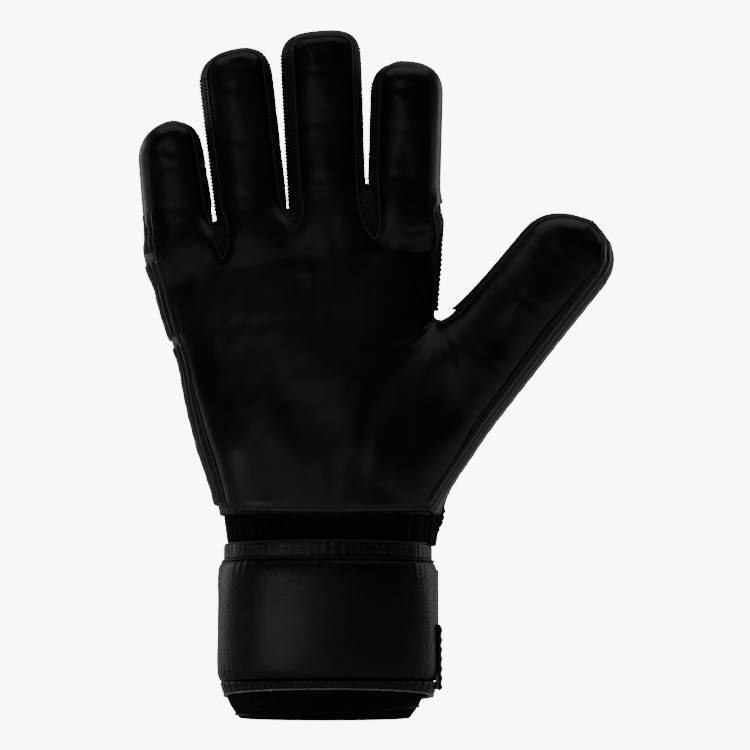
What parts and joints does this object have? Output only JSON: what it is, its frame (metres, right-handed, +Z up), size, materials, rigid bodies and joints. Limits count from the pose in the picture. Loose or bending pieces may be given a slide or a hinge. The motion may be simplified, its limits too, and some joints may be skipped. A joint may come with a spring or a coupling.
{
  "type": "goalkeeper glove",
  "caption": "Right-hand goalkeeper glove with a glossy latex palm, mesh finger gussets, padded back, elastic wrist and a wrap-round strap.",
  "frame": {"origin": "middle of the glove seen from above, on the plane of the cuff's lower rim; the wrist opening is centred 18 mm to -X of it", "axes": "+Z up the hand to the fingertips, -Y out of the palm, +X to the thumb side"},
  "size_m": [0.1968, 0.0562, 0.2898],
  "materials": {
    "latex": "smooth glossy latex foam",
    "mesh": "black stretch mesh",
    "pad": "soft synthetic leather over foam",
    "accent": "pale teal flex groove",
    "knit": "matte ribbed knit",
    "strap": "grained synthetic leather",
    "hem": "stitched binding",
    "hook": "hook and loop fastener",
    "lining": "soft brushed lining"
  },
  "bodies": {
    "cuff": {"inner_cuff": "knit", "strap_band": "strap", "strap_bottom_hem": "hem", "strap_top_hem": "hem", "wrist_elastic": "knit", "loop_patch": "hook"},
    "hand": {"palm_latex": "latex", "backhand_panel": "pad", "palm_lining": "lining", "backhand_lining": "lining", "side_pad_upper": "pad", "side_groove": "accent", "side_pad_lower": "pad", "crotch_mesh": "mesh", "thumb_side_pad": "pad"},
    "finger_row": {"palm_upper": "latex", "knuckle_pads": "pad", "little_side_pad": "pad", "index_side_mesh": "mesh"},
    "little_base": {"little_front_base": "latex", "little_back_base": "pad", "little_gusset_in_base": "mesh"},
    "little_tip": {"little_front_tip": "latex", "little_back_tip": "pad", "little_gusset_in_tip": "mesh"},
    "ring_base": {"ring_front_base": "latex", "ring_back_base": "pad", "ring_gusset_in_base": "mesh", "ring_gusset_out_base": "mesh"},
    "ring_tip": {"ring_front_tip": "latex", "ring_back_tip": "pad", "ring_gusset_in_tip": "mesh", "ring_gusset_out_tip": "mesh"},
    "middle_base": {"middle_front_base": "latex", "middle_back_base": "pad", "middle_gusset_in_base": "mesh", "middle_gusset_out_base": "mesh"},
    "middle_tip": {"middle_front_tip": "latex", "middle_back_tip": "pad", "middle_gusset_in_tip": "mesh", "middle_gusset_out_tip": "mesh"},
    "index_base": {"index_front_base": "latex", "index_back_base": "pad", "index_gusset_out_base": "mesh"},
    "index_tip": {"index_front_tip": "latex", "index_back_tip": "pad", "index_gusset_out_tip": "mesh"},
    "thumb_base": {"thumb_front_base": "latex", "thumb_back_base": "pad", "thumb_gusset_out_base": "mesh"},
    "thumb_tip": {"thumb_front_tip": "latex", "thumb_back_tip": "pad", "thumb_gusset_out_tip": "mesh"},
    "strap_flap": {"flap_panel": "strap", "hook_patch": "hook", "pull_tab": "hem"}
  },
  "joints": [
    {"name": "wrist_bend", "type": "hinge", "parent": "cuff", "child": "hand", "pos_m": [-0.01821, -0.00215, 0.08], "axis": [1, 0, 0], "range_deg": [-25, 25]},
    {"name": "knuckle_fold", "type": "hinge", "parent": "hand", "child": "finger_row", "pos_m": [-0.01821, -0.00615, 0.192], "axis": [1, 0, 0], "range_deg": [0, 40]},
    {"name": "little_root_bend", "type": "hinge", "parent": "finger_row", "child": "little_base", "pos_m": [-0.08211, -0.00515, 0.211], "axis": [0.9924, 0, 0.1234], "range_deg": [0, 45]},
    {"name": "little_mid_bend", "type": "hinge", "parent": "little_base", "child": "little_tip", "pos_m": [-0.08458, -0.00515, 0.23085], "axis": [0.9924, 0, 0.1234], "range_deg": [0, 55]},
    {"name": "ring_root_bend", "type": "hinge", "parent": "finger_row", "child": "ring_base", "pos_m": [-0.05151, -0.00515, 0.215], "axis": [0.9936, 0, 0.1132], "range_deg": [0, 45]},
    {"name": "ring_mid_bend", "type": "hinge", "parent": "ring_base", "child": "ring_tip", "pos_m": [-0.05536, -0.00515, 0.24878], "axis": [0.9936, 0, 0.1132], "range_deg": [0, 55]},
    {"name": "middle_root_bend", "type": "hinge", "parent": "finger_row", "child": "middle_base", "pos_m": [-0.01941, -0.00515, 0.222], "axis": [0.9988, 0, 0.0499], "range_deg": [0, 45]},
    {"name": "middle_mid_bend", "type": "hinge", "parent": "middle_base", "child": "middle_tip", "pos_m": [-0.02111, -0.00515, 0.25596], "axis": [0.9988, 0, 0.0499], "range_deg": [0, 55]},
    {"name": "index_root_bend", "type": "hinge", "parent": "finger_row", "child": "index_base", "pos_m": [0.01309, -0.00515, 0.225], "axis": [0.9997, 0, -0.0248], "range_deg": [0, 45]},
    {"name": "index_mid_bend", "type": "hinge", "parent": "index_base", "child": "index_tip", "pos_m": [0.01373, -0.00515, 0.25099], "axis": [0.9997, 0, -0.0248], "range_deg": [0, 55]},
    {"name": "thumb_root_bend", "type": "hinge", "parent": "hand", "child": "thumb_base", "pos_m": [0.04809, -0.00515, 0.1544], "axis": [0.7716, 0, -0.6361], "range_deg": [0, 30]},
    {"name": "thumb_mid_bend", "type": "hinge", "parent": "thumb_base", "child": "thumb_tip", "pos_m": [0.06844, -0.00515, 0.17909], "axis": [0.7716, 0, -0.6361], "range_deg": [0, 40]},
    {"name": "strap_opening", "type": "hinge", "parent": "cuff", "child": "strap_flap", "pos_m": [-0.06195, 0.01247, 0], "axis": [0, 0, 1], "range_deg": [0, 110]}
  ]
}
